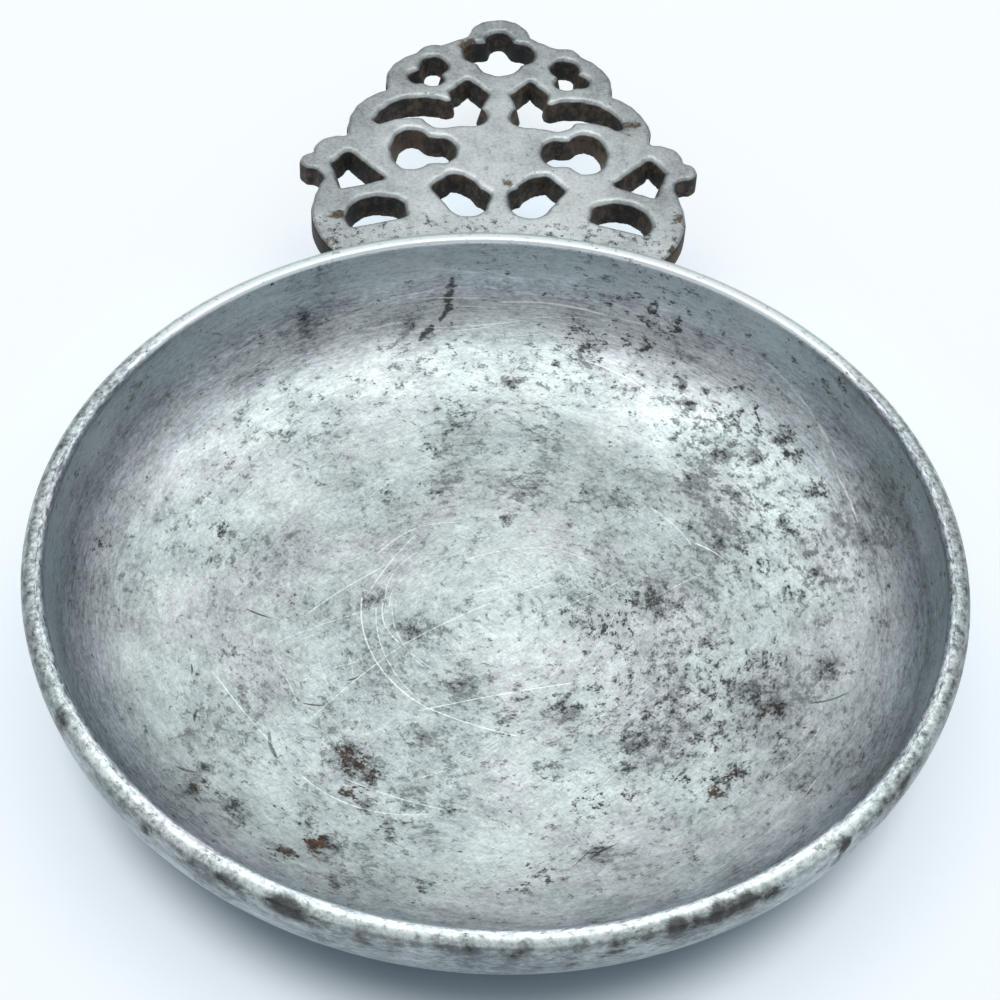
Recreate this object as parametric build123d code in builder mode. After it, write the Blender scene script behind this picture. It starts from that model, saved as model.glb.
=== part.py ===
"""Pewter porringer: a shallow cast and turned bowl with a pierced, flowered handle cast on to its wall.

Millimetres, +Z up. The origin is on the bowl's axis, on the surface that it rests on.
The handle points along +Y.
"""

import os

from build123d import *

os.makedirs("parts", exist_ok=True)

# Bowl
bowl_diameter = 108.0
bowl_depth = 13.5
floor_thickness = 2.0
lip_width = 2.6
lip_outer_round = 1.5
lip_inner_round = 0.35
wall_drop = 13.0
floor_reach = 40.0
foot_radius = 36.5

# Handle
handle_drop = 1.5
handle_thickness = 3.3
handle_bevel = 0.4
pattern_square = 1.0
outline_corner_round = 0.6 * pattern_square
opening_corner_round = 0.5 * pattern_square

# Bracket under the handle's root
bracket_width = 12.0
bracket_toe_width = 5.0
bracket_reach = 3.5
bracket_height = 6.5
bracket_tuck = 5.0

# Share of a quarter turn's reach at which its curve's arms end
quarter_turn_arm = 0.5523

bowl_height = bowl_depth + floor_thickness
lip_radius = bowl_diameter / 2
mouth_radius = lip_radius - lip_width
lip_base = bowl_height - lip_outer_round
handle_top = bowl_height - handle_drop
handle_bottom = handle_top - handle_thickness
handle_middle = (handle_top + handle_bottom) / 2
bracket_toe = handle_bottom - bracket_height


def wall_outside():
    """Draws the outer half profile: the resting face, and the wall rounding up to the lip."""
    wall_arm = lip_base * (1 - quarter_turn_arm)
    foot_arm = foot_radius + (lip_radius - foot_radius) * quarter_turn_arm
    Line((0, 0), (foot_radius, 0))
    Bezier((foot_radius, 0), (foot_arm, 0), (lip_radius, wall_arm), (lip_radius, lip_base))


def at(across, out):
    """A point of the handle's pattern, in squares across from its middle and out from the lip."""
    return (across * pattern_square, lip_radius + out * pattern_square)


def arc(start, middle, end):
    """A round stretch of the pattern through three of its points."""
    return ThreePointArc(at(*start), at(*middle), at(*end))


def straight(*points):
    """A straight stretch of the pattern through its points."""
    return Polyline(*[at(*point) for point in points])


def finish_half(half, corner_round):
    """Closes half of a shape, rounds its corners away from the middle line and mirrors it."""
    make_face()
    fillet(half.vertices().filter_by_position(Axis.X, pattern_square, lip_radius), corner_round)
    mirror(about=Plane.YZ)


with BuildPart() as bowl:
    with BuildSketch(Plane.XZ):
        with BuildLine():
            wall_outside()
            lip = JernArc((lip_radius, lip_base), (0, 1), lip_outer_round, 90)
            lip_edge = (mouth_radius + lip_inner_round, bowl_height)
            Line(lip @ 1, lip_edge)
            mouth = JernArc(lip_edge, (-1, 0), lip_inner_round, 90)
            Bezier(
                mouth @ 1,
                (mouth_radius, bowl_height - wall_drop),
                (floor_reach, floor_thickness),
                (0, floor_thickness),
            )
            Line((0, floor_thickness), (0, 0))
        make_face()
    revolve(axis=Axis.Z)

# Four-lobed hole at the tip, which the porringer hangs by
with BuildSketch() as hanging_hole:
    with BuildLine():
        arc((0, 44.2), (1.73, 43.2), (1.85, 41.45))
        arc((1.85, 41.45), (5.1, 39.6), (3.0, 36.75))
        arc((3.0, 36.75), (2.16, 35.0), (0, 34.1))
        straight((0, 34.1), (0, 44.2))
    finish_half(hanging_hole, opening_corner_round)

# Three-lobed openings below the buds
with BuildSketch() as trefoils:
    with BuildLine():
        arc((8.35, 34.13), (9.2, 38.05), (10.75, 34.66))
        arc((10.75, 34.66), (12.7, 33.3), (10.46, 32.08))
        arc((10.46, 32.08), (8.2, 31.8), (8.35, 34.13))
    finish_half(trefoils, opening_corner_round)

# Kites that run into long crescents
with BuildSketch() as kites:
    with BuildLine():
        straight((2.4, 26.9), (1.35, 30.0), (4.45, 33.25), (6.9, 30.25), (6.3, 27.5))
        arc((6.3, 27.5), (11.3, 28.95), (17.1, 23.4))
        straight((17.1, 23.4), (16.4, 22.6))
        arc((16.4, 22.6), (13.2, 24.15), (10.3, 24.1))
        arc((10.3, 24.1), (8.4, 22.3), (6.3, 22.75))
        straight((6.3, 22.75), (2.8, 23.1))
        arc((2.8, 23.1), (1.55, 25.1), (2.4, 26.9))
    finish_half(kites, opening_corner_round)

# Keyholes, an oval with a short slot
with BuildSketch() as keyholes:
    with BuildLine():
        half_width, half_length = 2.85 * pattern_square, 4.25 * pattern_square
        oval = EllipticalCenterArc(at(11.8, 17.6), half_width, half_length, -140, arc_size=280)
        Line(oval @ 1, at(7.3, 20.35))
        arc((7.3, 20.35), (5.6, 17.6), (7.3, 14.85))
        Line(at(7.3, 14.85), oval @ 0)
    finish_half(keyholes, opening_corner_round)

# Wings in the ears
with BuildSketch() as wings:
    with BuildLine():
        straight((15.0, 11.2), (20.35, 17.2), (22.5, 14.2), (20.9, 8.8), (15.0, 11.2))
    finish_half(wings, opening_corner_round)

# Half moons beside the root
with BuildSketch() as half_moons:
    with BuildLine():
        straight((13.0, 3.3), (11.9, 3.9), (12.5, 6.7))
        arc((12.5, 6.7), (15.8, 7.9), (20.15, 3.1))
        straight((20.15, 3.1), (19.3, 1.25), (13.0, 3.3))
    finish_half(half_moons, opening_corner_round)

# Leaves either side of the middle
with BuildSketch() as leaves:
    with BuildLine():
        straight((1.7, 5.6), (1.05, 8.4))
        arc((1.05, 8.4), (1.45, 9.3), (2.35, 9.9))
        arc((2.35, 9.9), (3.5, 11.6), (6.5, 12.95))
        straight((6.5, 12.95), (9.1, 10.0), (6.1, 5.0))
        arc((6.1, 5.0), (4.3, 4.2), (1.7, 5.6))
    finish_half(leaves, opening_corner_round)

# The handle's outline: tip, bud, two lobes, ear and root, the same on both sides
with BuildSketch() as outline:
    with BuildLine():
        arc((0, 47.1), (3.1, 45.8), (4.4, 43.0))
        straight((4.4, 43.0), (8.3, 40.6))
        arc((8.3, 40.6), (10.7, 40.25), (11.6, 38.8))
        arc((11.6, 38.8), (14.7, 36.0), (15.5, 30.2))
        arc((15.5, 30.2), (19.2, 27.0), (20.4, 19.7))
        arc((20.4, 19.7), (24.1, 18.9), (25.0, 16.2))
        arc((25.0, 16.2), (26.6, 13.9), (25.5, 12.8))
        arc((25.5, 12.8), (23.9, 12.2), (23.4, 10.6))
        arc((23.4, 10.6), (24.6, 4.4), (22.0, -2.7))
        straight((22.0, -2.7), (20.0, -4.6), (20.0, -12.0), (0, -12.0), (0, 47.1))
    finish_half(outline, outline_corner_round)

with BuildPart() as bracket:
    with BuildSketch(Plane.YZ):
        with BuildLine():
            Polyline(
                (foot_radius, handle_middle),
                (lip_radius + bracket_reach, handle_middle),
                (lip_radius + bracket_reach, handle_bottom),
                (lip_radius - bracket_tuck, bracket_toe),
                (foot_radius, bracket_toe),
                close=True,
            )
        make_face()
    extrude(amount=bracket_width / 2, both=True)
    with BuildSketch(Plane.XZ):
        with BuildLine():
            Polyline(
                (-bracket_width / 2, handle_middle),
                (-bracket_width / 2, handle_bottom),
                (-bracket_toe_width / 2, bracket_toe),
                (bracket_toe_width / 2, bracket_toe),
                (bracket_width / 2, handle_bottom),
                (bracket_width / 2, handle_middle),
                close=True,
            )
        make_face()
    extrude(amount=-(lip_radius + bracket_reach), mode=Mode.INTERSECT)

with BuildPart() as handle:
    with BuildSketch(Plane.XY.offset(handle_bottom)):
        add(outline.sketch)
        for opening in (hanging_hole, trefoils, kites, keyholes, wings, half_moons, leaves):
            add(opening.sketch, mode=Mode.SUBTRACT)
    extrude(amount=handle_thickness)
    chamfer(handle.faces().sort_by(Axis.Z)[-1].edges(), handle_bevel)
    add(bracket.part)
    with BuildSketch(Plane.XZ):
        with BuildLine():
            wall_outside()
            Polyline((lip_radius, lip_base), (lip_radius, bowl_height), (0, bowl_height), (0, 0))
        make_face()
    revolve(axis=Axis.Z, mode=Mode.SUBTRACT)

bowl.part.label = "bowl"
export_step(bowl.part, "parts/bowl.step")

handle.part.label = "handle"
export_step(handle.part, "parts/handle.step")
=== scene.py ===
"""A worn pewter porringer on a white table: turned bowl, and pierced handle cast on to its wall."""

import math

import bmesh
import bpy
import numpy as np
from mathutils import Matrix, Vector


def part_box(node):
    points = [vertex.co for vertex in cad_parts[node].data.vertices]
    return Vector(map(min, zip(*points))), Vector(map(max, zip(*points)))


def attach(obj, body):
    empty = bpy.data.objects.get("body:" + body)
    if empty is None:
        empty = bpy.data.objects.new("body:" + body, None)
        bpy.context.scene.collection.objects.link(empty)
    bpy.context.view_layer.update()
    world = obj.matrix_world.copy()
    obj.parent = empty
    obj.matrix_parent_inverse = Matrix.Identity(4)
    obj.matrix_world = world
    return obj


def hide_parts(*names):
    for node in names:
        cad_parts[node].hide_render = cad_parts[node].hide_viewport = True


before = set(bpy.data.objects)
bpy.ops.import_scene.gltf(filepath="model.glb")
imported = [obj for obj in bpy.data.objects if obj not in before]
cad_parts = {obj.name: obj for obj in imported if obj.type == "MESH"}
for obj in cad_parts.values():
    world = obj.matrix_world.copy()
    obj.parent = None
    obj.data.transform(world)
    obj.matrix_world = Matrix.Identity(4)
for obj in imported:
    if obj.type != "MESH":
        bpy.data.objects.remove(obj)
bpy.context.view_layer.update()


# The bowl is one pewter casting, turned on a lathe inside and out: flat bottom, rounded wall, flat lip.
# Long use has polished its floor, scratched it in arcs and let tarnish spread in patches.
# It stands on its bottom by its own weight, and carries the handle on its wall at +Y.

mm = 0.001
lip_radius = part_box("bowl")[1][0]
bowl_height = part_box("bowl")[1][2]
floor_height = 2.0 * mm
foot_radius = 36.5 * mm
lip_width = 2.6 * mm
lip_outer_round = 1.5 * mm
lip_inner_round = 0.7 * mm
wall_drop = 13.0 * mm
floor_reach = 40.0 * mm
quarter_turn_arm = 0.5523
bottom_points = 12
wall_points = 36
round_points = 14
edge_points = 8
inside_rows = 110
bowl_steps = 480


def drawn_curve(start, start_arm, end_arm, end, count):
    """Points of a curve that leaves start towards start_arm and reaches end from end_arm:
    the four points weighted by (1-t)^3, 3t(1-t)^2, 3t^2(1-t) and t^3, for t from 0 to 1."""
    t = np.linspace(0, 1, count)[:, None]
    weights = np.hstack([(1 - t) ** 3, 3 * t * (1 - t) ** 2, 3 * t ** 2 * (1 - t), t ** 3])
    return weights @ np.array([start, start_arm, end_arm, end])


def corner_round(centre, radius, start, end, count):
    """Points of an arc about a centre: centre plus radius times the cosine and sine of each angle."""
    angle = np.radians(np.linspace(start, end, count))
    return np.array(centre) + radius * np.stack([np.cos(angle), np.sin(angle)], axis=1)


def outer_profile():
    """Half of the bowl's outer section as points (radius, height): bottom, wall, round of the lip."""
    lip_base = bowl_height - lip_outer_round
    wall_arm = lip_base * (1 - quarter_turn_arm)
    foot_arm = foot_radius + (lip_radius - foot_radius) * quarter_turn_arm
    bottom = np.stack([np.linspace(0, foot_radius, bottom_points), np.zeros(bottom_points)], axis=1)
    wall = drawn_curve(
        (foot_radius, 0), (foot_arm, 0), (lip_radius, wall_arm), (lip_radius, lip_base), wall_points
    )
    lip_centre = (lip_radius - lip_outer_round, lip_base)
    lip = corner_round(lip_centre, lip_outer_round, 0, 90, round_points)
    return np.vstack([bottom, wall[1:], lip[1:]])


def inner_profile():
    """Half of the bowl's inner section as points (radius, height): edge of the lip, wall, floor."""
    mouth = lip_radius - lip_width
    inside_top = bowl_height - lip_inner_round
    lip = corner_round((mouth + lip_inner_round, inside_top), lip_inner_round, 90, 180, edge_points)
    inside = drawn_curve(
        (mouth, inside_top), (mouth, bowl_height - wall_drop),
        (floor_reach, floor_height), (0, floor_height), inside_rows,
    )
    return np.vstack([lip, inside[1:]])


def turned(name, profile, steps):
    """A profile turned once round Z: each point (radius, height) at every angle is
    (radius cos angle, radius sin angle, height). Its two ends, on the axis, are one point each."""
    angle = np.linspace(0, 2 * math.pi, steps, endpoint=False)
    radius, height = profile[1:-1, 0:1], profile[1:-1, 1:2]
    rings = np.stack([radius * np.cos(angle), radius * np.sin(angle), height + 0 * angle], axis=-1)
    rows = len(rings)
    ends = [(0, 0, profile[0, 1]), (0, 0, profile[-1, 1])]
    points = np.vstack([rings.reshape(-1, 3), ends])
    row, column = np.meshgrid(np.arange(rows - 1) * steps, np.arange(steps), indexing="ij")
    after = (column + 1) % steps
    quads = np.stack([row + column, row + after, row + steps + after, row + steps + column], axis=-1)
    column, after = column[0], after[0]
    last = (rows - 1) * steps
    first_fan = np.stack([after, column, 0 * column + rows * steps], axis=-1)
    last_fan = np.stack([last + column, last + after, 0 * column + rows * steps + 1], axis=-1)
    mesh = bpy.data.meshes.new(name)
    mesh.from_pydata(
        points.tolist(), [], quads.reshape(-1, 4).tolist() + first_fan.tolist() + last_fan.tolist()
    )
    mesh.shade_smooth()
    return mesh


def places(mesh):
    """Every point of a mesh, in millimetres, as one array with a row for each."""
    flat = np.empty(3 * len(mesh.vertices))
    mesh.vertices.foreach_get("co", flat)
    return flat.reshape(-1, 3) / mm


def mark(mesh, name, amounts):
    """Keeps an amount for each point of a mesh under a name, for its material to read."""
    mesh.attributes.new(name, "FLOAT", "POINT").data.foreach_set("value", amounts.astype(np.float32))


def spread(points, centres, sizes, amounts):
    """How far each mark reaches each point: amount times exp(-(distance / size)^2)."""
    distance = np.linalg.norm(points[:, None, :] - centres, axis=2)
    return amounts * np.exp(-(distance / sizes) ** 2)


# Where tarnish lies thick on the bowl's inside: x, y and size in millimetres, and strength
tarnish_spots = np.array([
    (18, 3, 3.2, 1.0), (14, -2, 5.0, 0.75), (21.5, 2, 1.6, 0.9), (11, 1, 3.2, 0.7),
    (30, -11, 4.2, 0.9), (32, -13.5, 2.2, 1.2), (27.5, -10, 2.6, 0.8), (31, -6.5, 3.2, 0.7),
    (18, -14, 2.0, 1.0), (16, -18, 2.0, 1.1), (19.5, -18, 2.0, 0.9), (23, -16.5, 1.5, 0.9),
    (25, -24.5, 1.7, 1.2), (27.5, -22.5, 1.6, 1.0), (21.2, -23.5, 1.5, 1.0), (23.5, -20, 1.5, 0.8),
    (8.5, -13.5, 2.6, 0.9), (3, -12.3, 2.0, 0.6), (2, -15.6, 2.2, 0.6), (15, -22, 1.4, 0.9),
    (11, -26.5, 2.2, 0.8), (15.5, -25, 1.7, 0.8), (6, -22.5, 2.0, 0.6), (38.5, -8, 2.0, 0.9),
    (25, -3.5, 1.2, 1.0), (33, -19, 3.2, 0.6), (34, -24.7, 2.0, 0.7), (11.5, -33.8, 1.6, 0.8),
    (28, 26, 2.0, 0.9), (32, 25, 1.6, 0.8), (36.8, 25, 1.4, 1.0), (36.5, 28, 1.8, 0.8),
    (33.5, 29.5, 2.0, 0.7), (32.5, 32.5, 1.7, 0.7), (35.5, 15, 1.5, 1.0), (36.5, 13.2, 1.4, 1.0),
    (24.7, 34, 1.2, 1.1), (24, 37.5, 1.5, 0.7), (39.7, 19, 1.3, 1.1), (29.3, 20.2, 1.2, 0.9),
    (25, 21.8, 2.4, 0.8), (28, 12.5, 4.0, 0.6), (23.7, 14.8, 1.5, 0.8), (32, 8.5, 1.4, 0.8),
    (38.7, 6.5, 1.6, 0.8), (38.5, 9.5, 1.3, 0.7), (36, 4, 2.2, 0.7), (12, 43.5, 3.0, 0.7),
    (10, 45.5, 1.8, 0.8), (19.3, 42.2, 1.1, 1.1), (23, 43.8, 1.6, 0.9), (20, 45.7, 1.4, 0.9),
    (2, 38, 1.3, 0.9), (5.5, 29.5, 1.6, 0.8), (3.5, 20.5, 2.6, 0.7), (15.7, 18.8, 1.8, 0.8),
    (12, 19.5, 2.0, 0.6), (1.2, 15.4, 0.8, 1.1), (-5, 31, 3.6, 0.6), (-7.3, 27, 2.4, 0.6),
    (-26, 27.5, 1.1, 0.9), (-33, 11.5, 1.5, 1.0), (-33.3, 7, 1.5, 0.7), (-46.8, 6, 1.0, 1.1),
    (-13, 19, 1.8, 0.7), (-24.5, 42.8, 1.0, 1.1), (-11.2, 45.8, 1.0, 1.0), (-7, 20.3, 2.0, 0.6),
    (-14.5, 2, 1.6, 0.8), (-9.5, -2.8, 1.7, 0.9), (-24.5, 1.5, 2.0, 0.6), (-3.5, -10, 2.6, 0.6),
    (-30.5, -6.8, 1.3, 0.7), (-33, -27.5, 1.6, 1.1), (-29, -29.5, 1.6, 1.0),
    (-27.5, -31.5, 1.2, 1.0), (-32, -24.4, 1.2, 0.9), (-20.5, -30.5, 1.5, 0.9),
    (-17, -20.5, 2.0, 0.9), (-14, -23, 2.2, 0.9), (-13.8, -28.2, 1.1, 1.1), (-9.8, -27.6, 1.0, 1.0),
    (-5, -28.3, 1.0, 1.1), (-8, -18.5, 1.3, 0.7), (-11.5, -31.5, 1.5, 0.8), (-18, -34, 2.0, 0.9),
    (-22.5, -35.6, 1.2, 1.0), (-7, -38.5, 1.7, 0.7), (-17, -39, 2.0, 0.7), (5.5, -37.5, 2.0, 0.7),
    (3, -39.5, 2.0, 0.6), (21.5, -34.8, 1.0, 0.8), (22, -13, 13, 0.62), (31, 12, 11, 0.42),
    (30, 30, 9, 0.42), (12, 2, 7, 0.35), (-28, -29, 7, 0.3), (-12, -28, 8, 0.15), (14, 43, 9, 0.3),
    (45, 10, 8, 0.3), (40, -25, 8, 0.25), (38, 30, 8, 0.3),
])

# Where the tarnish has gone to brown rust
rust_spots = np.array([
    (-16.8, -20.6, 1.7, 0.95), (-15.4, -22.2, 2.0, 1.05), (-13.4, -23.2, 1.5, 0.9),
    (-16.2, -26.4, 1.4, 0.9), (-19.2, -34, 2.0, 1.05), (-22.5, -35.7, 1.5, 0.9),
    (-33.8, -16.8, 0.7, 0.8), (24.6, -25, 2.2, 0.85), (31.5, -13.5, 2.4, 0.75),
    (26.8, -23.2, 1.9, 0.75), (-32, -27.5, 2.0, 0.75), (-14.2, -25, 1.2, 0.7),
])

# Two dark runs down the far wall
stain_spots = np.array([
    (-5.7, 50.0, 0.5, 1.0), (-6.1, 49.4, 0.65, 1.0), (-6.4, 48.6, 0.75, 1.0),
    (-6.3, 47.9, 0.75, 1.0), (-6.8, 47.1, 0.55, 1.0), (-7.3, 46.4, 0.45, 0.95),
    (-8.5, 45.4, 0.5, 1.0), (-8.9, 44.9, 0.6, 1.0), (-9.3, 44.4, 0.65, 1.0),
    (-9.8, 43.8, 0.55, 0.95),
])

# Broad patches that use has polished, and others that lie dull
wear_patches = np.array([
    (2, 1, 9, 0.40), (-24, -22, 3.5, 0.28), (38, 4, 4, 0.25), (21, 31, 6, 0.36),
    (33, 16, 4.5, 0.28), (6, 38, 8, 0.26), (-10, 38, 8, 0.22), (-33, 26, 8, 0.14),
    (27, 28, 7, 0.16), (23, -1, 3.5, 0.2), (-36, -16, 7, 0.06), (-5, -33, 10, 0.06),
    (8, -30, 8, 0.10), (-38, 4, 8, 0.06), (14, 0, 7, -0.26), (8, 27, 9, -0.2), (-6, 30, 6, -0.2),
    (18, 23, 7, -0.16), (27, 13, 5, -0.18), (31, -12, 6, -0.30), (-17, 11, 9, -0.12),
    (-26, 1, 7, -0.24), (18, -17, 6, -0.14), (33, -18, 5, -0.2), (2, 17, 8, 0.12),
    (-16, -6, 6, -0.08), (-4, -9, 5, -0.12), (34, 20, 5, 0.14), (34, 0, 5, -0.14),
    (-41, -22, 6, -0.12), (40, -23, 6, -0.14), (-43, 0, 6, -0.1), (-25, 44, 6, -0.2),
    (-35, 35, 5, -0.1), (43, 22, 6, -0.12), (20, 48, 4, 0.12),
])

# Dark blotches on the lip's outer side: direction in degrees from +X, height, size, strength
lip_blotches = np.array([
    (-113.6, 15.0, 1.5, 1.3), (-111.5, 14.6, 1.2, 1.0), (-121, 15.0, 1.0, 0.8),
    (-125.3, 14.6, 1.0, 0.7), (-132.4, 14.0, 1.3, 0.8), (-118.5, 13.7, 0.8, 0.8),
    (-110, 13.9, 0.8, 0.9), (-104.7, 14.4, 1.4, 0.8), (-96.4, 15.0, 0.9, 0.9),
    (-93, 15.1, 0.8, 0.8), (-101.6, 12.3, 1.0, 0.6), (-87.5, 15.0, 1.4, 0.8),
    (-81.1, 15.0, 1.0, 0.9), (-77.1, 15.0, 1.0, 1.0), (-77.2, 13.3, 1.2, 0.8),
    (-73.5, 14.9, 1.1, 0.8), (-70.4, 15.0, 1.4, 1.2), (-68, 14.9, 1.1, 1.0),
    (-65.5, 15.0, 1.4, 1.2), (-61.8, 15.0, 1.3, 1.3), (-63.5, 15.1, 1.2, 1.1),
    (-82.2, 11.4, 1.2, 0.7), (-68.5, 15.5, 0.6, 0.9), (-63.8, 15.5, 0.6, 0.9),
    (-58.7, 14.7, 1.2, 0.8), (-40, 14.4, 1.6, 0.8), (-37, 14.6, 1.4, 0.9), (-150, 14.6, 1.4, 0.9),
    (-172.8, 15.3, 0.7, 0.9), (-174.4, 14.2, 0.7, 0.8), (170.7, 14.5, 0.8, 0.8),
    (139, 14.6, 1.0, 0.9), (-48, 15.2, 0.8, 1.0), (-47.8, 14.7, 0.6, 1.2), (-48.4, 14.0, 0.6, 1.2),
    (-48.8, 13.2, 0.6, 1.0),
])

bowl_mesh = turned("turned_bowl", np.vstack([outer_profile(), inner_profile()]), bowl_steps)
bowl = bpy.data.objects.new("turned_bowl", bowl_mesh)
bpy.context.scene.collection.objects.link(bowl)
bowl_points = places(bowl_mesh)
first_inside = (len(outer_profile()) - 1) * bowl_steps
inside = np.zeros(len(bowl_points))
inside[first_inside:] = 1
inside[-2] = 0


def inside_marks(spot_list):
    """The reach of each spot (x, y, size, strength) on the bowl's inside, seen from above."""
    reach = spread(bowl_points[:, :2], spot_list[:, :2], spot_list[:, 2], spot_list[:, 3])
    return inside[:, None] * reach


blotch_radius = lip_radius / mm
blotch_growth = 1.35
blotch_direction = np.radians(lip_blotches[:, 0])
blotch_places = np.stack([
    blotch_radius * np.cos(blotch_direction), blotch_radius * np.sin(blotch_direction),
    lip_blotches[:, 1],
], axis=1)
blotches = spread(bowl_points, blotch_places, blotch_growth * lip_blotches[:, 2], lip_blotches[:, 3])
mark(bowl_mesh, "tarnish", inside_marks(tarnish_spots).max(axis=1))
mark(bowl_mesh, "rust", inside_marks(rust_spots).max(axis=1))
mark(bowl_mesh, "stain", inside_marks(stain_spots).max(axis=1))
mark(bowl_mesh, "wear", inside_marks(wear_patches).sum(axis=1))
mark(bowl_mesh, "blotch", blotches.max(axis=1))
mark(bowl_mesh, "inside", inside)


class Socket:
    """One end of a link in a material. Arithmetic on sockets and numbers adds Math nodes."""

    def __init__(self, tree, end=None):
        self.tree = tree
        self.end = end

    def node(self, kind, settings=(), inputs=(), output=0):
        """Adds a node of a kind, makes its settings, fills or links its inputs, gives one output."""
        node = self.tree.nodes.new("ShaderNode" + kind)
        for name, value in dict(settings).items():
            setattr(node, name, value)
        for name, value in dict(inputs).items():
            self.feed(node.inputs[name], value)
        return Socket(self.tree, node.outputs[output])

    def feed(self, entry, value):
        """Links a socket to a node's entry, or sets a plain value there."""
        if isinstance(value, Socket):
            self.tree.links.new(value.end, entry)
        else:
            entry.default_value = value

    def math(self, operation, *terms):
        return self.node("Math", {"operation": operation}, enumerate(terms))

    def __add__(self, other):
        return self.math("ADD", self, other)

    def __sub__(self, other):
        return self.math("SUBTRACT", self, other)

    def __mul__(self, other):
        return self.math("MULTIPLY", self, other)

    def __rsub__(self, other):
        return self.math("SUBTRACT", other, self)

    def __rtruediv__(self, other):
        return self.math("DIVIDE", other, self)

    __radd__ = __add__
    __rmul__ = __mul__

    def most(self, other):
        return self.math("MAXIMUM", self, other)

    def least(self, other):
        return self.math("MINIMUM", self, other)

    def step(self, low, high):
        """0 up to low, 1 from high on, and a smooth rise between them."""
        ease = {"interpolation_type": "SMOOTHSTEP"}
        return self.node("MapRange", ease, {"Value": self, "From Min": low, "From Max": high})

    def vector(self, operation, other=(0, 0, 0), output=0):
        return self.node("VectorMath", {"operation": operation}, {0: self, 1: other}, output)

    def scaled(self, amount):
        return self.node("VectorMath", {"operation": "SCALE"}, {0: self, "Scale": amount})

    def cloud(self, size, detail, raggedness):
        """Noise on these coordinates, with lumps of about a size; its middle value is 0.5."""
        inputs = {"Vector": self, "Scale": 1 / size, "Detail": detail, "Roughness": raggedness}
        return self.node("TexNoise", {}, inputs)

    def tinted(self, colour, other):
        """A colour that goes over to another as this value goes from 0 to 1."""
        return self.node("Mix", {"data_type": "RGBA"}, {0: self, 6: colour, 7: other}, 2)

    def amount(self, name):
        """What mark() kept under a name."""
        return self.node("Attribute", {"attribute_name": name}, {}, "Fac")


def grey(tone, red=0.91, blue=0.99):
    """A grey of one tone, with its shares of red and blue."""
    return (tone * red, tone, tone * blue, 1)


bowl_metal = bpy.data.materials.new("turned_pewter")
bowl_metal.use_nodes = True
metal = Socket(bowl_metal.node_tree)
bowl_shader = bowl_metal.node_tree.nodes["Principled BSDF"]

point = metal.node("TexCoord", {}, {}, "Object").scaled(1 / mm)
flat = point.vector("MULTIPLY", (1, 1, 0))
radius = flat.vector("LENGTH", output="Value")
lengthways = metal.node("SeparateXYZ", {}, {0: point}, "Y")
height = metal.node("SeparateXYZ", {}, {0: point}, "Z")
upright = metal.node("SeparateXYZ", {}, {0: metal.node("NewGeometry", {}, {}, "Normal")}, "Z")
indoors = metal.math("GREATER_THAN", metal.amount("inside"), 0.5)
outdoors = 1 - indoors
outwards = metal.node("CombineXYZ", {}, {"Z": radius + height})
outer_skin = point.vector("MULTIPLY", (0.5, 0.5, 1)).scaled(outdoors)


def turning(round_from):
    """Coordinates that stretch along the turning tool's path beyond a radius, and are plain within it.
    On the outside they are plain, and half as fine around as up."""
    drawn_round = flat.scaled((round_from / radius).least(1.0)).vector("ADD", outwards)
    return drawn_round.scaled(indoors).vector("ADD", outer_skin)


streaks = turning(6).cloud(0.6, 4, 0.65)
fine_streaks = turning(4).cloud(0.2, 2, 0.6)

# How far the metal is polished rather than dull. Painted light goes in too: painted shade on the
# steep inner wall, painted highlights along the top of the inner wall and on the lip's crest,
# and a painted reflection of the white table on the outer side.
broad = point.cloud(10, 3, 0.55)
middle = turning(18).cloud(2.4, 5, 0.68)
small = turning(20).cloud(0.55, 4, 0.72)
grain = turning(22).cloud(0.32, 3, 0.65)
# The steep inner wall. Its colour is made a little darker and bluer there: painted shade.
up_wall = indoors * radius.step(41, 48)
far_side = lengthways.step(20, 45)
# A band at the top of the inner wall, up to the lip at the back and stopping below it at the front,
# made lighter below: a painted highlight.
painted_inner_lip_highlight = indoors * radius.step(50, 51.3) * (1 - height.step(14.2, 14.8) * (1 - far_side))
crest = height.step(14.85, 15.25) * upright.step(0.35, 0.75)
side = outdoors * (1 - crest)
ends = metal.math("ABSOLUTE", lengthways)
polish = (
    0.465 + 0.62 * metal.amount("wear") + 0.54 * (broad - 0.5)
    + 0.90 * (middle - 0.5) * (1 - 0.3 * up_wall) + 0.85 * (small - 0.5)
    + 0.5 * (grain - 0.5) * (1 + 0.8 * up_wall)
    + (streaks - 0.5) * (0.05 + 0.2 * radius.step(12, 35) + 0.3 * up_wall + 0.7 * crest)
    # Painted shade: the steep inner wall 0.08 darker. Painted highlight: the top band of the inner wall
    # 0.5 lighter.
    + 0.5 * (fine_streaks - 0.5) * up_wall - 0.08 * up_wall + 0.50 * painted_inner_lip_highlight
    # Outer side: lighter low down, where it faces the white table, than near the lip: a painted
    # reflection of the table. It is also darker at the front and back and at the left and right.
    + side * (0.46 - 0.55 * height.step(6.5, 13))
    - side * (0.16 * ends.step(36, 52) + 0.12 * (1 - ends.step(34, 41)))
    # The lip's crest lighter towards the front and back, most at the back: a painted highlight.
    + crest * (0.02 + 0.34 * ends.step(18, 46) + 0.45 * lengthways.step(20, 46))
    + crest * 1.3 * (small + grain - 1)
)
polished = point.cloud(13, 2, 0.5).step(0.42, 0.62).tinted(
    grey(0.90, 0.895, 0.985), grey(0.88, 0.935, 1.0)
)
colour = polish.tinted(grey(0.17, 0.88, 1.06), polished)
# Painted reflection: a faint blue cast on the steep inner wall, from the bluish low light it faces.
bluer = {"data_type": "RGBA", "blend_type": "MULTIPLY"}
colour = metal.node("Mix", bluer, {0: up_wall, 6: colour, 7: (1.0, 0.985, 1.025, 1)}, 2)

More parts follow.
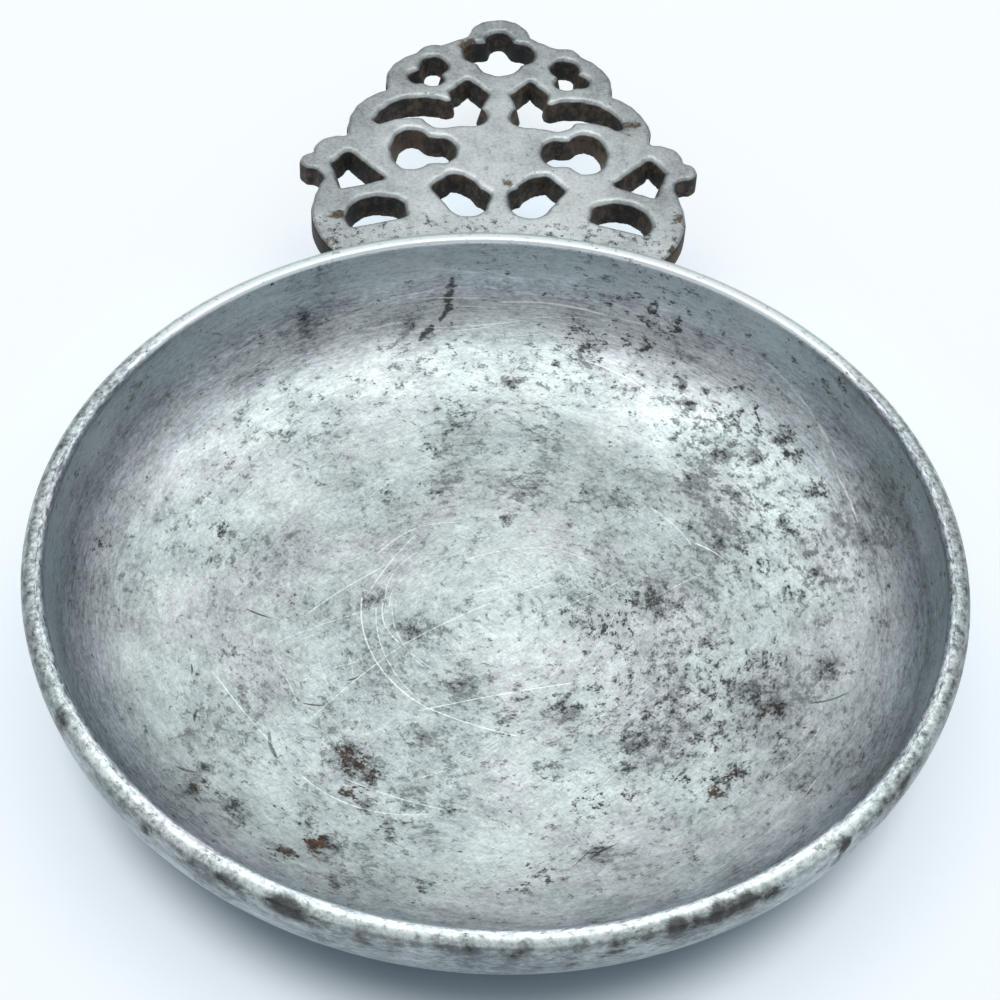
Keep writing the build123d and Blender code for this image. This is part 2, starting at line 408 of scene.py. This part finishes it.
# Tarnish: ragged patches, thick where the marked spots are
ragged = turning(38).cloud(1.4, 8, 0.73)
spot = metal.amount("tarnish")
blotch = metal.amount("blotch")
film = (
    ragged + 0.18 * spot + 0.06 * blotch + 0.3 * (0.5 - broad) + 0.45 * (grain - 0.5)
    + 0.03 * side - 0.05 * crest - 0.02 * up_wall
).step(0.58, 0.63)
pits = (
    ragged + 0.20 * spot + 0.09 * blotch + 0.55 * (grain - 0.5) + 0.03 * up_wall - 0.05 * crest
).step(0.69, 0.75)
specks = (small + 0.10 * spot + 0.25 * (ragged - 0.5) + 0.1 * (0.5 - broad)).step(0.625, 0.675)
specks = specks * (1 - 0.1 * up_wall)
colour = (0.45 * specks).tinted(colour, grey(0.16, 0.92, 1.02))
colour = (0.60 * film).tinted(colour, grey(0.15, 0.9, 1.03))
colour = (0.85 * pits).tinted(colour, grey(0.05, 1.0, 0.96))

lip_stain = (blotch + 1.2 * (small - 0.5) + 1.6 * (ragged - 0.5)).step(0.3, 1.0)
colour = (0.85 * lip_stain).tinted(colour, (0.047, 0.043, 0.041, 1))
stain = (metal.amount("stain") + 1.4 * (small - 0.5) + 1.0 * (ragged - 0.5)).step(0.45, 0.75)
colour = (0.85 * stain).tinted(colour, grey(0.03, 0.9, 1.05))
halo = (metal.amount("rust") + 1.4 * (ragged - 0.5) + 0.6 * (grain - 0.5)).step(0.45, 0.95)
colour = (0.6 * halo).tinted(colour, (0.085, 0.062, 0.05, 1))
rust = (metal.amount("rust") + 3.2 * (ragged - 0.5) + 1.6 * (grain - 0.5)).step(0.66, 0.98)
rust_colour = small.step(0.46, 0.66).tinted((0.028, 0.016, 0.012, 1), (0.17, 0.075, 0.034, 1))
colour = (0.9 * rust).tinted(colour, rust_colour)

# Scratches, each an arc through three points (x, y), with a width and a strength
scratches = [
    (-15.7, 2.3, -13.5, -7.7, -7.8, -13.8, 0.09, 1.0),
    (-7.8, -13.8, -2.8, -16, 2.6, -17.6, 0.08, 1.0), (-14, 0.8, -13.3, -4.6, -9.3, -12, 0.06, 0.8),
    (-13.2, 1.6, -12.5, -2.6, -10.5, -4.9, 0.08, 0.9),
    (-11.9, -1.5, -10.3, -5.3, -7.6, -8.4, 0.05, 0.7),
    (-12.4, 0.9, -12.1, 3.5, -10.6, 5.7, 0.05, 0.7), (-15, 3, -13.4, 6.4, -9.6, 12.5, 0.06, 0.8),
    (-14.1, 9.2, -12, 11.7, -9, 13.9, 0.06, 0.8), (-12.9, 1, -12.6, 5, -9.4, 9.6, 0.05, 0.7),
    (-3.6, 8.6, 1.3, 10.4, 6.3, 11, 0.07, 0.8), (6.3, 11, 9.3, 10.1, 11.5, 8.9, 0.06, 0.7),
    (8.9, 8.6, 9.5, 7.2, 9.7, 5.8, 0.06, 0.7), (1.9, 14.4, 6, 14.3, 10.7, 13.5, 0.05, 0.6),
    (-20.5, -15.7, -15.8, -10, -10.6, -4.7, 0.06, 0.8),
    (-10.6, -4.7, -3.2, 0.4, 7.1, 5.5, 0.07, 0.9), (4, -0.3, 10.1, 2.8, 15.7, 6.3, 0.05, 0.7),
    (0.1, -6.1, 2.5, -4.2, 4.6, -2.6, 0.05, 0.6), (9.6, -7.8, 12.4, -3.7, 14.7, 2.2, 0.05, 0.6),
    (-8.6, -14.4, 0.7, -11.7, 9.4, -9.7, 0.08, 0.9),
    (-32, -10.5, -29.2, -14.5, -25.2, -19.6, 0.08, 0.9),
    (-21.3, -24.3, -15.6, -28.1, -7.4, -28.9, 0.08, 0.9),
    (-16.5, -24.4, -11.2, -26.6, -5.5, -28.2, 0.06, 0.8),
    (-3.8, -31.4, -1.5, -32.6, 1.5, -33.9, 0.06, 0.6),
    (-25.8, -6.8, -23.7, -10.8, -22.6, -13.6, 0.06, 0.6),
    (-20.5, -6.5, -19.6, -9.8, -19.1, -10.9, 0.05, 0.7),
    (-25.5, -5.2, -19.7, -1.8, -13.8, 0.8, 0.05, 0.6),
    (-22.3, -0.8, -17.6, 3.8, -13.4, 7.2, 0.07, 0.9),
    (-20.1, 6.7, -15.4, 9.1, -13, 11.3, 0.05, 0.6),
    (-9, -24.4, -5.6, -22.5, -2.2, -20.9, 0.05, 0.5), (-2.7, 3.6, 1.3, 4.7, 6.8, 7.5, 0.05, 0.7),
    (19, 18, 21.8, 15.2, 24, 11.8, 0.07, 0.7), (24.5, 12, 26.2, 11, 27.5, 9.8, 0.1, 1.0),
    (20, 4, 23, 6, 25.5, 7.5, 0.07, 0.6), (33, 38, 38, 32, 42, 23, 0.1, 0.5),
    (42.3, 20, 43.3, 17, 43.9, 14, 0.12, 0.8), (-8.6, 50.3, -5.5, 50.6, -2.9, 50.7, 0.04, 0.9),
    (-2.9, 50.9, -0.7, 50.8, 2.2, 50.5, 0.03, 0.8), (-13.5, 47.8, -11, 48.5, -8.5, 49.1, 0.05, 0.6),
    (-11, 48.1, -5.9, 48.8, -1.1, 49, 0.06, 0.8), (0.6, 48.7, 6.8, 48.5, 13.6, 46.9, 0.07, 1.0),
    (4.5, 48.8, 10.2, 47.8, 18.6, 45.2, 0.05, 0.7), (-5.9, 48, -2.5, 48.2, 0.6, 48.1, 0.05, 0.7),
    (-6.9, 45.6, -1.6, 46.2, 3.8, 46.9, 0.06, 0.9), (-5.2, 45.3, -2.4, 45.7, -0.5, 46.1, 0.05, 0.7),
    (-15.1, 44.7, -13.7, 45.2, -12, 45.7, 0.06, 0.8), (4, 47, 7.4, 47.1, 11.1, 46.8, 0.05, 0.7),
    (11.7, 41.3, 15.8, 39.3, 19.9, 36, 0.08, 0.7), (3, 44.9, 5.2, 45.1, 6.9, 45.1, 0.05, 0.6),
    (30, -24, 34, -21, 37, -16.5, 0.08, 0.4), (27, -34, 31, -30.5, 36, -24, 0.1, 0.4),
    (-18.8, -9.4, -16.9, -8, -15.1, -6.6, 0.05, 0.8),
    (-18.6, -8.5, -17.3, -8, -16, -7.6, 0.05, 0.7),
    (-16.9, -6.7, -16.5, -8, -16.3, -9.3, 0.04, 0.7),
    (-8.5, -24, -6.7, -23.3, -4.9, -22.4, 0.05, 0.8), (0.6, -6, 1.9, -4.9, 3, -4, 0.05, 0.8),
    (1.2, -1, 4.4, 1.2, 7.6, 3.2, 0.05, 0.7), (2.4, -2.5, 5.5, -0.3, 8.8, 1.6, 0.04, 0.6),
    (-6.1, 1.1, -4.7, 1.6, -3.4, 2.1, 0.04, 0.6), (-8.8, 13.9, -6.6, 14.5, -4.4, 14.7, 0.05, 0.7),
    (-12.1, 0.9, -11.5, -2.6, -7.1, -8.2, 0.05, 0.7), (6.5, -8.9, 7.1, -8.15, 7.5, -7.3, 0.05, 0.8),
    (-2.9, -10.3, -1.9, -9.2, -0.9, -8.3, 0.05, 0.7), (-5.9, -6.2, -4.4, -5.9, -3, -5.8, 0.04, 0.7),
    (-21.3, -12.9, -19.7, -12.3, -18.1, -11.8, 0.05, 0.7),
]

# Short dark cuts, in the same way
dark_cuts = [
    (-28.8, -0.4, -27.8, -0.9, -26.8, -1.2, 0.17, 1.0),
    (-21.2, -13.9, -20.6, -14, -20, -14, 0.2, 1.0),
    (-25.2, -18.6, -25.1, -20.2, -24.3, -21.6, 0.2, 0.8),
    (-16.6, -10.1, -16.3, -10, -16, -9.8, 0.2, 1.0),
    (-34.9, -9.6, -34.8, -10, -34.8, -10.3, 0.2, 1.0), (-35, -24.6, -34, -25, -33, -25, 0.16, 0.8),
    (-33.6, -16.2, -33.8, -16.8, -33.7, -17.4, 0.2, 0.9),
    (10.7, -34.6, 11.8, -33.5, 13, -32.9, 0.16, 0.9), (9, -35.4, 9.6, -34.6, 10.2, -33.9, 0.1, 0.7),
    (36.5, -12.8, 38.6, -12.6, 40.5, -11.8, 0.12, 0.8),
]


def arcs(arc_list):
    """The strongest arc at each place. The circle through an arc's three points is worked out here;
    a place is on the arc where its distance from the centre is the radius, to within the width,
    and it lies on the arc's own side of the chord between its ends."""
    total = None
    for start_x, start_y, middle_x, middle_y, end_x, end_y, width, strength in arc_list:
        start, waist, end = np.array([(start_x, start_y), (middle_x, middle_y), (end_x, end_y)])
        rows = 2 * np.array([waist - start, end - start])
        squares = [waist @ waist - start @ start, end @ end - start @ start]
        centre = np.linalg.solve(rows, squares)
        reach = np.linalg.norm(start - centre)
        chord = (start + end) / 2 - centre
        chord_distance = np.linalg.norm(chord)
        facing = chord / chord_distance
        offset = flat.vector("SUBTRACT", (*centre, 0))
        on_ring = metal.math("COMPARE", offset.vector("LENGTH", output="Value"), reach, width)
        within = metal.math(
            "GREATER_THAN", offset.vector("DOT_PRODUCT", (*facing, 0), "Value"), chord_distance
        )
        arc = on_ring * within * strength
        total = arc if total is None else total.most(arc)
    return total * indoors


def drawn_lines(turns, length, width, low, high):
    """Fine strokes: noise drawn out along each of a few directions, and cut off below a level."""
    total = None
    for turn in turns:
        rotation = (0, 0, math.radians(turn))
        drawn_out = {"Vector": flat, "Rotation": rotation, "Scale": (length, width, 1)}
        laid_out = metal.node("Mapping", {"vector_type": "TEXTURE"}, drawn_out)
        lines = laid_out.cloud(1, 1, 0.5).step(low, high)
        total = lines if total is None else total.most(lines)
    return total * indoors


strokes = drawn_lines((38, -50), 1.1, 0.15, 0.58, 0.68) * (1 - radius.step(40, 48))
colour = (0.32 * strokes).tinted(colour, grey(0.14, 0.92, 1.02))
hairlines = drawn_lines((28, 47, -34), 6, 0.13, 0.67, 0.75)
hairlines = hairlines * (1 - radius.step(24, 36)) * broad.step(0.40, 0.58)
cuts = arcs(dark_cuts) * (0.4 + 1.2 * small)
colour = (0.8 * cuts).tinted(colour, grey(0.05, 1.0, 0.95))
bright_lines = (arcs(scratches) * (2.4 * small - 0.5)).most(0.6 * hairlines)
colour = (0.8 * bright_lines).tinted(colour, grey(0.97, 0.95, 1.0))

roughness = 0.36 + 0.10 * (0.5 - broad) + 0.12 * film + 0.2 * pits.most(rust)
relief = 0.5 * small + 0.4 * fine_streaks * up_wall - 0.4 * film - 1.0 * pits.most(rust)
hollows = metal.node("Bump", {}, {"Strength": 0.5, "Distance": 0.05 * mm, "Height": relief})
metal.feed(bowl_shader.inputs["Base Color"], colour)
metal.feed(bowl_shader.inputs["Roughness"], roughness)
metal.feed(bowl_shader.inputs["Normal"], hollows)
metal.feed(bowl_shader.inputs["Metallic"], 1 - 0.6 * rust.most(0.5 * pits))

bowl.data.materials.append(bowl_metal)
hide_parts("bowl")
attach(bowl, "root")


# The handle is a flat flowered casting in the same metal, with a wedge-shaped bracket under its root.
# Its edges came soft from the mould and wore softer, and dark dirt lies in the piercings.
# Root and bracket were cast on to the bowl, so they run into its wall with no gap.

weld_distance = 0.0005 * mm
handle_voxel = 0.24 * mm
handle_smoothing = 4
handle_top = 14.0
handle_thickness = 3.3
draft = 0.8
draft_reach = 0.7
root_tuck = 0.9
root_reach = 1.4
plan_square = 0.3
level_face = 0.8
stray = 0.05
stray_start = 55.0
stray_rise = 6.0

cast = bpy.data.meshes.new_from_object(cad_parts["handle"])
shell = bmesh.new()
shell.from_mesh(cast)
bmesh.ops.remove_doubles(shell, verts=shell.verts, dist=weld_distance)
shell.to_mesh(cast)
shell.free()
handle = bpy.data.objects.new("cast_handle", cast)
bpy.context.scene.collection.objects.link(handle)
remesh = handle.modifiers.new("even_skin", "REMESH")
remesh.mode = "VOXEL"
remesh.voxel_size = handle_voxel
soften = handle.modifiers.new("soft_edges", "SMOOTH")
soften.factor = 0.5
soften.iterations = handle_smoothing
skin = bpy.data.meshes.new_from_object(handle.evaluated_get(bpy.context.evaluated_depsgraph_get()))
handle.modifiers.clear()
handle.data = skin
handle_points = places(skin)


def pull_to_openings(points, normals):
    """How strongly, and which way, each point is drawn into the nearest opening.
    The plan is laid out in squares: metal where a flat face has a point, outside where the border
    can be reached past the metal, openings elsewhere. The openings are blurred by a bell curve,
    and the pull is the slope of that, at most 1."""
    low = points[:, :2].min(axis=0) - 4 * plan_square
    square = ((points[:, :2] - low) / plan_square).astype(int)
    wide, long = square.max(axis=0) + 5
    metal_squares = np.zeros((wide, long), dtype=bool)
    level = np.abs(normals[:, 2]) > level_face
    metal_squares[square[level, 0], square[level, 1]] = True
    outside = np.zeros_like(metal_squares)
    outside[[0, -1], :] = True
    outside[:, [0, -1]] = True
    for sweep in range(wide + long):
        grown = outside.copy()
        grown[1:] |= outside[:-1]
        grown[:-1] |= outside[1:]
        grown[:, 1:] |= outside[:, :-1]
        grown[:, :-1] |= outside[:, 1:]
        outside = grown & ~metal_squares
    openings = ~(metal_squares | outside)
    across = np.fft.fftfreq(wide, plan_square)[:, None]
    along = np.fft.rfftfreq(long, plan_square)[None, :]
    bell = np.exp(-2 * (math.pi * draft_reach) ** 2 * (across ** 2 + along ** 2))
    blurred = np.fft.irfft2(np.fft.rfft2(openings) * bell, s=openings.shape)
    slope = np.stack(np.gradient(blurred, plan_square), axis=-1)
    slope /= np.linalg.norm(slope, axis=-1).max()
    return slope[square[:, 0], square[:, 1]]


handle_normals = np.empty(3 * len(skin.vertices))
skin.vertex_normals.foreach_get("vector", handle_normals)
handle_normals = handle_normals.reshape(-1, 3)
depth = np.clip((handle_top - handle_points[:, 2:3]) / handle_thickness, 0, 1)
handle_points[:, :2] += draft * depth * pull_to_openings(handle_points, handle_normals)


def wander(points):
    """How far the hand-cleaned edges stray from the pattern: sums of three sines of x and y, each as
    high as the stray, with waves of about 9, 5 and 2 mm, dying out towards the root."""
    x, y = points[:, 0], points[:, 1]
    sideways = np.sin(0.45 * x + 0.62 * y) + np.sin(1.1 * x - 0.7 * y + 2) + np.sin(2.3 * x + 2.1 * y)
    lengthways = np.sin(0.6 * x - 0.4 * y + 1) + np.sin(0.8 * x + y) + np.sin(2.6 * x - 1.9 * y + 3)
    fade = stray * np.clip((y - stray_start) / stray_rise, 0, 1)
    return np.stack([sideways, lengthways], axis=1) * fade[:, None]


handle_points[:, :2] += wander(handle_points)
from_axis = np.linalg.norm(handle_points[:, :2], axis=1)
wall_outside = outer_profile()[bottom_points:] / mm
wall_radius = np.interp(handle_points[:, 2], wall_outside[:, 1], wall_outside[:, 0])
tuck = root_tuck * np.clip(1 - (from_axis - wall_radius) / root_reach, 0, 1)
handle_points[:, :2] *= (1 - tuck / from_axis)[:, None]

skin.vertices.foreach_set("co", (handle_points * mm).ravel())
skin.update()
skin.shade_smooth()
skin.materials.clear()

# Brown spots on the handle's top: x, y, size, strength
handle_rust = np.array([
    (-21, 57.3, 1.4, 1.1), (23.7, 58.7, 1.2, 1.1), (18.3, 78, 1.7, 1.0), (16.9, 77, 1.4, 1.0),
    (-4.4, 94.6, 1.9, 1.25), (1.2, 65, 1.2, 1.0), (23.5, 52, 1.9, 1.3), (-22, 52.3, 1.5, 0.9),
])
reach = spread(handle_points[:, :2], handle_rust[:, :2], handle_rust[:, 2], handle_rust[:, 3])
mark(skin, "rust", reach.max(axis=1))

worn_middle = (0, 66, 12)
handle_metal = bpy.data.materials.new("cast_pewter")
handle_metal.use_nodes = True
metal = Socket(handle_metal.node_tree)
handle_shader = handle_metal.node_tree.nodes["Principled BSDF"]
point = metal.node("TexCoord", {}, {}, "Object").scaled(1 / mm)
away = metal.node("SeparateXYZ", {}, {0: point}, "Y")
upright = metal.math("ABSOLUTE", metal.node(
    "SeparateXYZ", {}, {0: metal.node("NewGeometry", {}, {}, "Normal")}, "Z"
))
steep = 1 - upright.step(0.4, 0.66)
edge = upright.step(0.62, 0.8) * (1 - upright.step(0.92, 0.985))
broad = point.cloud(9, 3, 0.55)
middle = point.cloud(2.2, 5, 0.65)
small = point.cloud(0.5, 4, 0.7)
ragged = point.cloud(1.1, 7, 0.74)
from_middle = point.vector("SUBTRACT", worn_middle).vector("LENGTH", output="Value")
handled = 1 - from_middle.step(9, 29)
near_root = 1 - away.step(55.5, 61)
polish = (
    0.34 + 0.29 * handled + 0.7 * (broad - 0.5) + 0.8 * (middle - 0.5) + 0.9 * (small - 0.5)
    + 0.14 * near_root + 0.02 * edge
)
colour = polish.tinted(grey(0.17, 0.92, 1.03), grey(0.84, 0.935, 1.0))
film = (ragged + 0.07 * near_root + 0.3 * (small - 0.5)).step(0.59, 0.65)
pits = (ragged + 0.11 * near_root + 0.4 * (small - 0.5)).step(0.69, 0.75)
colour = (0.5 * film).tinted(colour, grey(0.14, 0.9, 1.03))
colour = (0.8 * pits).tinted(colour, grey(0.05, 1.0, 0.96))
rust = (metal.amount("rust") + 2.6 * (ragged - 0.5)).step(0.5, 0.95)
rust_colour = small.step(0.42, 0.62).tinted((0.04, 0.027, 0.014, 1), (0.16, 0.092, 0.028, 1))
colour = (0.9 * rust).tinted(colour, rust_colour)
dirt_colour = (ragged + 0.5 * (broad - 0.5)).step(0.43, 0.64).tinted(
    (0.010, 0.010, 0.010, 1), (0.15, 0.098, 0.06, 1)
)
dirt = (steep * (0.8 + 0.5 * middle)).least(1.0)
colour = (0.95 * dirt).tinted(colour, dirt_colour)
metal.feed(handle_shader.inputs["Base Color"], colour)
metal.feed(handle_shader.inputs["Roughness"], 0.42 + 0.12 * film + 0.28 * dirt.most(rust))
metal.feed(handle_shader.inputs["Metallic"], 1 - 0.85 * dirt.most(rust))
relief = 0.6 * small + 0.5 * middle - 0.5 * film - 0.8 * pits
metal.feed(handle_shader.inputs["Normal"], metal.node(
    "Bump", {}, {"Strength": 0.5, "Distance": 0.06 * mm, "Height": relief}
))
skin.materials.append(handle_metal)
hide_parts("handle")
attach(handle, "root")


# The table is a plain white surface that runs well past the picture, and the bowl stands on it.
# A little light of its own, seen straight on, in metal or through glass alone, makes it a clean white.
# Close round the bowl that light fades out and the colour darkens: a painted contact shadow. Round the
# handle's middle the light is brighter: painted light that thins the handle's shadow.
# Its rings are in millimetres, round the bowl's axis or the handle's middle, and a little narrow.

table_half = 20000 * mm
ring_narrowing = 1.08
painted_shadow_ring = (47, 57)
glow_ring = (49.0, 57.5)
glow_fade = (56, 85)
handle_middle = (0, 68, 0)
handle_ring = (16, 34)
table_mesh = bpy.data.meshes.new("white_table")
table_edge = np.array([(-1, -1, 0), (1, -1, 0), (1, 1, 0), (-1, 1, 0)]) * table_half
table_mesh.from_pydata(table_edge.tolist(), [], [(0, 1, 2, 3)])
table = bpy.data.objects.new("white_table", table_mesh)
bpy.context.scene.collection.objects.link(table)
table_white = bpy.data.materials.new("white_table")
table_white.use_nodes = True
white = Socket(table_white.node_tree)
table_shader = table_white.node_tree.nodes["Principled BSDF"]
table_shader.inputs["Roughness"].default_value = 0.7
table_shader.inputs["Specular IOR Level"].default_value = 0.2
table_shader.inputs["Emission Strength"].default_value = 1.0
seen = white.node("LightPath", {}, {}, "Is Camera Ray")
seen = seen.most(white.node("LightPath", {}, {}, "Is Glossy Ray"))
seen = seen.most(white.node("LightPath", {}, {}, "Is Transmission Ray"))
beside = white.node("TexCoord", {}, {}, "Object").scaled(1 / mm)
beside = beside.vector("MULTIPLY", (ring_narrowing, 1, 1))
from_bowl = beside.vector("LENGTH", output="Value")
# Painted contact shadow: the table's colour darker and bluer inside the ring round the bowl.
painted_shadow_white = from_bowl.step(*painted_shadow_ring).tinted((0.40, 0.47, 0.54, 1), (0.70, 0.77, 0.83, 1))
white.feed(table_shader.inputs["Base Color"], painted_shadow_white)
# The table's own light fades out towards the bowl and is bluer near it, deepening and tinting the
# painted contact shadow.
lit = seen * from_bowl.step(*glow_ring)
glow = from_bowl.step(*glow_fade).tinted((0.42, 0.44, 0.465, 1), (0.405, 0.385, 0.36, 1))
# Painted light: round the handle's middle the table's own light is brighter and bluer, thinning the
# handle's shadow.
from_handle = beside.vector("SUBTRACT", handle_middle).vector("LENGTH", output="Value")
glow = from_handle.step(*handle_ring).tinted((0.485, 0.53, 0.56, 1), glow)
white.feed(table_shader.inputs["Emission Color"], lit.tinted((0, 0, 0, 1), glow))
table.data.materials.append(table_white)


# Soft light: a pale room, brighter beyond the handle than on the near side,
# and one large lamp above and behind the bowl, turned down to it.

world = bpy.data.worlds.new("pale_room")
world.use_nodes = True
bpy.context.scene.world = world
room = Socket(world.node_tree)
background = world.node_tree.nodes["Background"]
direction = room.node("TexCoord", {}, {}, "Generated")
away = room.node("SeparateXYZ", {}, {0: direction}, "Y")
up = room.node("SeparateXYZ", {}, {0: direction}, "Z")
behind = away.step(-0.75, 0.35)
strength = (0.45 + 0.55 * behind) * (0.28 + 0.72 * up.step(0.1, 0.85))
strength = strength + 0.2 * away.step(0.7, 0.95) * up.step(0.0, 0.3)
mirrored = room.node("LightPath", {}, {}, "Is Camera Ray")
mirrored = mirrored.most(room.node("LightPath", {}, {}, "Is Glossy Ray"))
mirrored = mirrored.most(room.node("LightPath", {}, {}, "Is Transmission Ray"))
strength = strength + 0.58 * mirrored * (1 - behind) * (1 - up.step(0.3, 0.85))
low = 1 - up.step(0.1, 0.7)
room.feed(background.inputs["Color"], low.tinted((0.96, 0.985, 1.0, 1), (0.86, 0.94, 1.0, 1)))
room.feed(background.inputs["Strength"], strength)

lamp_back = 0.236
lamp_height = 0.584
lamp = bpy.data.lights.new("overhead_lamp", "AREA")
lamp.shape = "ELLIPSE"
lamp.size = 0.6
lamp.size_y = 0.3
lamp.energy = 0.58
lamp.color = (0.97, 0.99, 1.0)
lamp_object = bpy.data.objects.new("overhead_lamp", lamp)
lamp_object.location = (0, lamp_back, lamp_height)
lamp_object.rotation_euler = (-math.atan2(lamp_back, lamp_height), 0, 0)
bpy.context.scene.collection.objects.link(lamp_object)


# The camera stands in front of the bowl, opposite the handle, and looks down at it,
# slightly turned and tilted.

camera_place = (-7.73 * mm, -181.53 * mm, 220.76 * mm)
camera_pitch = 47.515
camera_turn = -2.4
camera_roll = 3.348
camera_data = bpy.data.cameras.new("camera")
camera_data.sensor_width = 36.0
camera_data.lens = 86.4
camera_data.clip_start = 0.01
camera = bpy.data.objects.new("camera", camera_data)
camera.matrix_world = (
    Matrix.Translation(camera_place)
    @ Matrix.Rotation(math.radians(camera_turn), 4, "Z")
    @ Matrix.Rotation(math.radians(90 - camera_pitch), 4, "X")
    @ Matrix.Rotation(math.radians(camera_roll), 4, "Z")
)
bpy.context.scene.collection.objects.link(camera)
bpy.context.scene.camera = camera
bpy.context.scene.view_settings.view_transform = "Standard"
